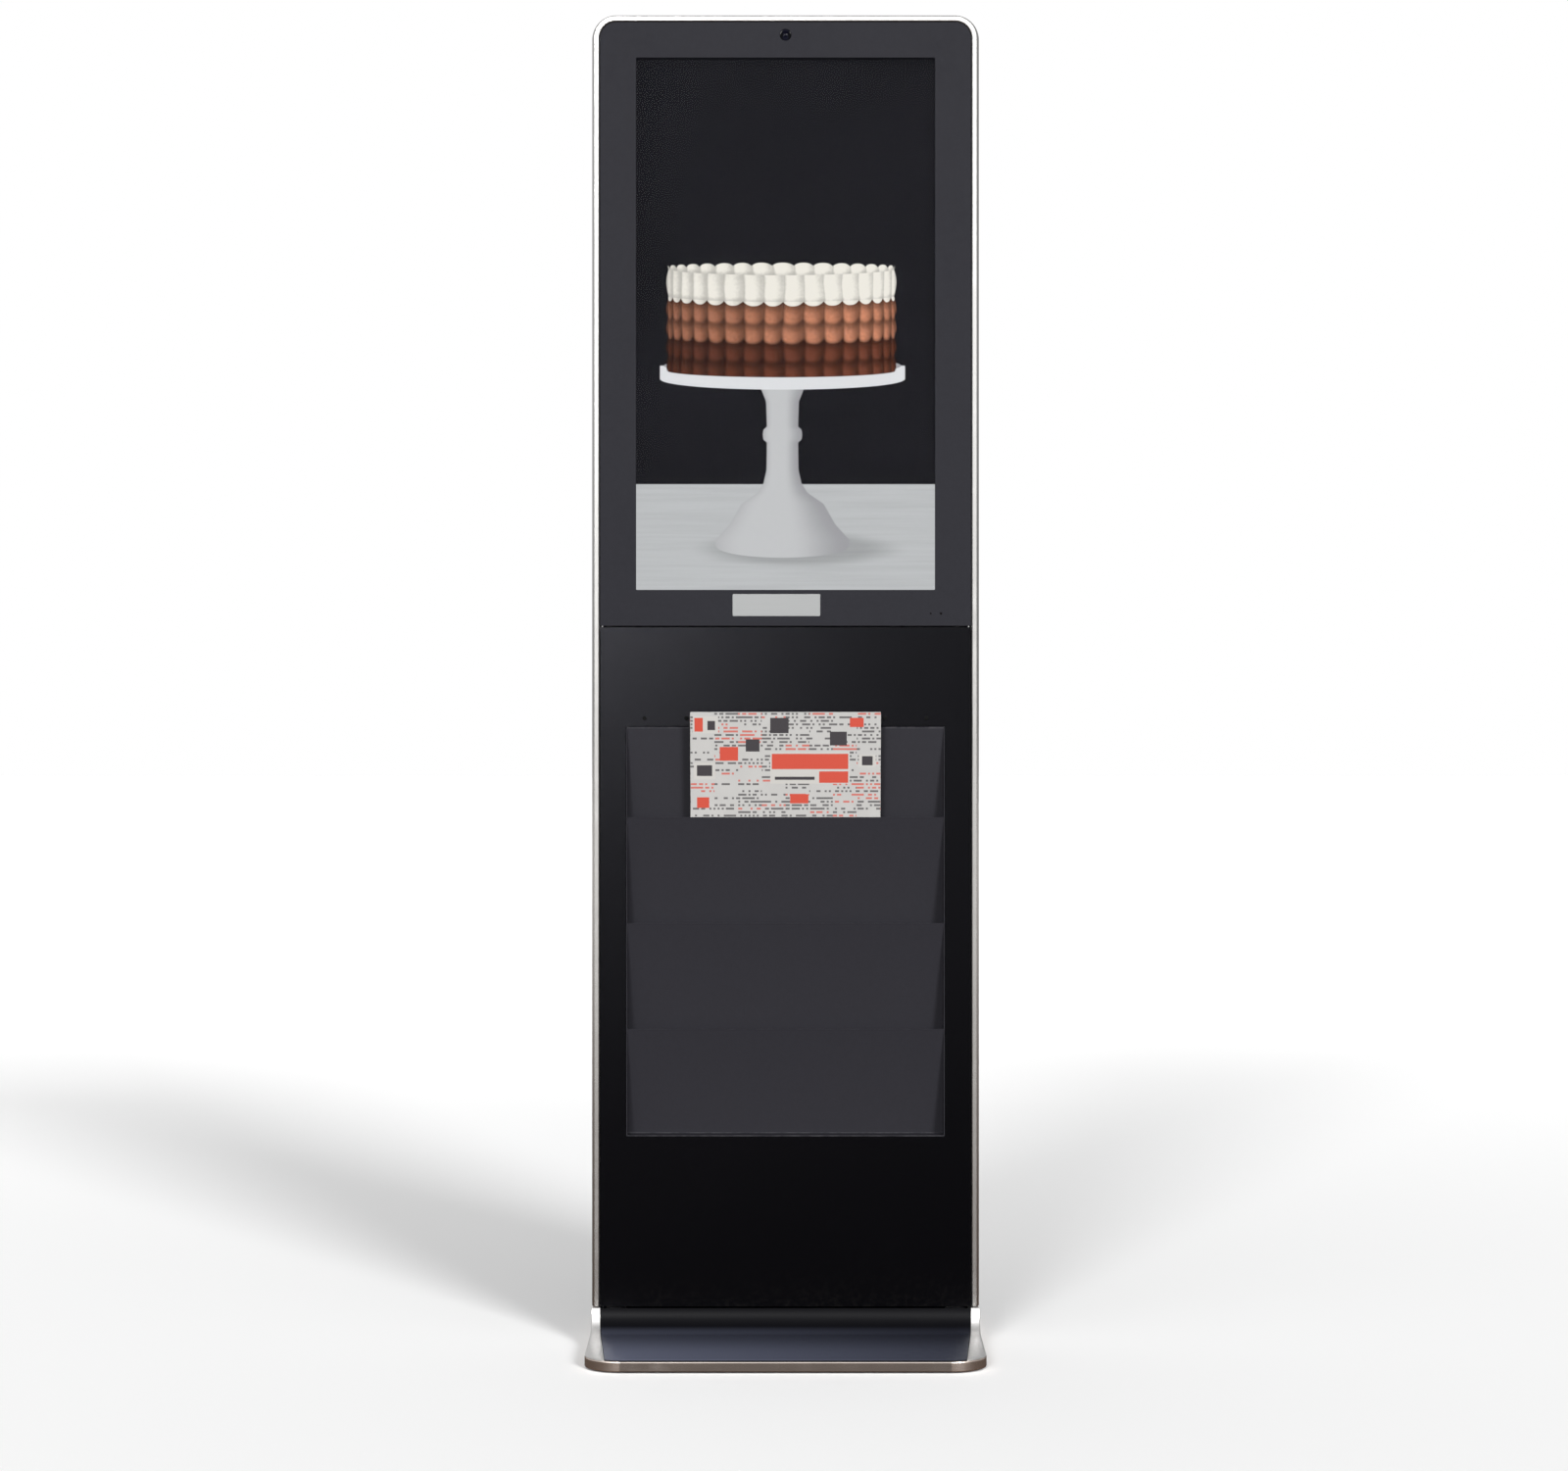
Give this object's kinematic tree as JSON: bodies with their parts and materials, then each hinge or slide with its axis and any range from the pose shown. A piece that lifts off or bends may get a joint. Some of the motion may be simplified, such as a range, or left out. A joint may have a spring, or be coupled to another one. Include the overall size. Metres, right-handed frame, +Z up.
{
  "type": "touchscreen kiosk",
  "caption": "Floor-standing portrait touchscreen kiosk with a silver frame, a sloping leaflet rack and a weighted base.",
  "frame": {"origin": "on the floor, under the middle of the base plate", "axes": "+Z up, the screen faces -Y, +X to the viewer's right"},
  "size_m": [0.51, 0.44, 1.748],
  "materials": {
    "base_steel": "satin",
    "pad_rubber": "matte",
    "sweep_enamel": "gloss",
    "silver_trim": "satin",
    "frame_steel": "satin",
    "zinc_hardware": "satin",
    "bezel_enamel": "matte",
    "black_plastic": "matte",
    "screen_glass": "polished",
    "display_picture": "satin",
    "white_plastic": "satin",
    "tray_metal": "satin",
    "circuit_board": "satin",
    "lens_gloss": "gloss",
    "indicator_red": "gloss",
    "nameplate_metal": "satin",
    "panel_enamel": "satin",
    "rack_enamel": "matte",
    "black_screw": "satin",
    "leaflet_paper": "matte",
    "rear_enamel": "satin",
    "player_case": "satin",
    "lead_jacket": "satin"
  },
  "bodies": {
    "cabinet": {"base_plate": "base_steel", "floor_pads": "pad_rubber", "base_cover_front": "sweep_enamel", "base_cover_rear": "sweep_enamel", "base_cheek_left": "silver_trim", "base_cheek_right": "silver_trim", "column_flange": "frame_steel", "flange_bolts": "zinc_hardware", "upright_left": "frame_steel", "upright_right": "frame_steel", "cross_bar_top": "frame_steel", "cross_bar_middle": "frame_steel", "cross_bar_bottom": "frame_steel", "frame_rail_left": "silver_trim", "frame_rail_right": "silver_trim", "frame_arch": "silver_trim", "frame_clips": "frame_steel", "front_bezel": "bezel_enamel", "touch_frame": "black_plastic", "touch_glass": "screen_glass", "lcd_cell": "display_picture", "diffuser_plate": "white_plastic", "backlight_tray": "tray_metal", "led_bars": "white_plastic", "display_bracket_left": "frame_steel", "display_bracket_right": "frame_steel", "display_board": "circuit_board", "camera_module": "black_plastic", "camera_lens": "lens_gloss", "status_led": "indicator_red", "infrared_window": "indicator_red", "nameplate": "nameplate_metal", "lower_front_panel": "panel_enamel", "rack_side_left": "rack_enamel", "rack_side_right": "rack_enamel", "rack_panel_back": "rack_enamel", "rack_panel_upper": "rack_enamel", "rack_panel_middle": "rack_enamel", "rack_panel_lower": "rack_enamel", "rack_base": "rack_enamel", "rack_screws": "black_screw", "rear_cover_upper": "rear_enamel", "rear_cover_lower": "rear_enamel", "cover_screws": "zinc_hardware", "hinge_cover_leaves": "zinc_hardware", "hinge_pins": "zinc_hardware", "mains_inlet": "black_plastic", "equipment_plate": "frame_steel", "media_player": "player_case", "power_supply": "tray_metal", "speakers": "black_plastic", "fan_housing": "black_plastic", "internal_leads": "lead_jacket"},
    "service_door": {"service_door": "rear_enamel", "hinge_door_leaves": "zinc_hardware", "lock_barrel": "zinc_hardware"},
    "lock_plug": {"lock_plug": "zinc_hardware"},
    "power_rocker": {"power_rocker": "indicator_red"},
    "fan_rotor": {"fan_rotor": "black_plastic"},
    "leaflets": {"leaflet_stack": "leaflet_paper"}
  },
  "joints": [
    {"name": "service_door_hinge", "type": "hinge", "parent": "cabinet", "child": "service_door", "pos_m": [-0.16, 0.0365, 0.73], "axis": [0, 0, 1], "range_deg": [0, 110]},
    {"name": "lock_turn", "type": "hinge", "parent": "service_door", "child": "lock_plug", "pos_m": [0.138, 0.03, 0.73], "axis": [0, 1, 0], "range_deg": [-90, 0]},
    {"name": "power_switch", "type": "hinge", "parent": "cabinet", "child": "power_rocker", "pos_m": [-0.133, 0.031, 0.096], "axis": [1, 0, 0], "range_deg": [0, 12]},
    {"name": "fan_spin", "type": "hinge", "parent": "cabinet", "child": "fan_rotor", "pos_m": [0, 0.02, 1.59], "axis": [0, 1, 0], "continuous": true},
    {"name": "leaflet_lift", "type": "slide", "parent": "cabinet", "child": "leaflets", "axis": [0, -0.184, 0.9829], "range_m": [0, 0.05]}
  ]
}
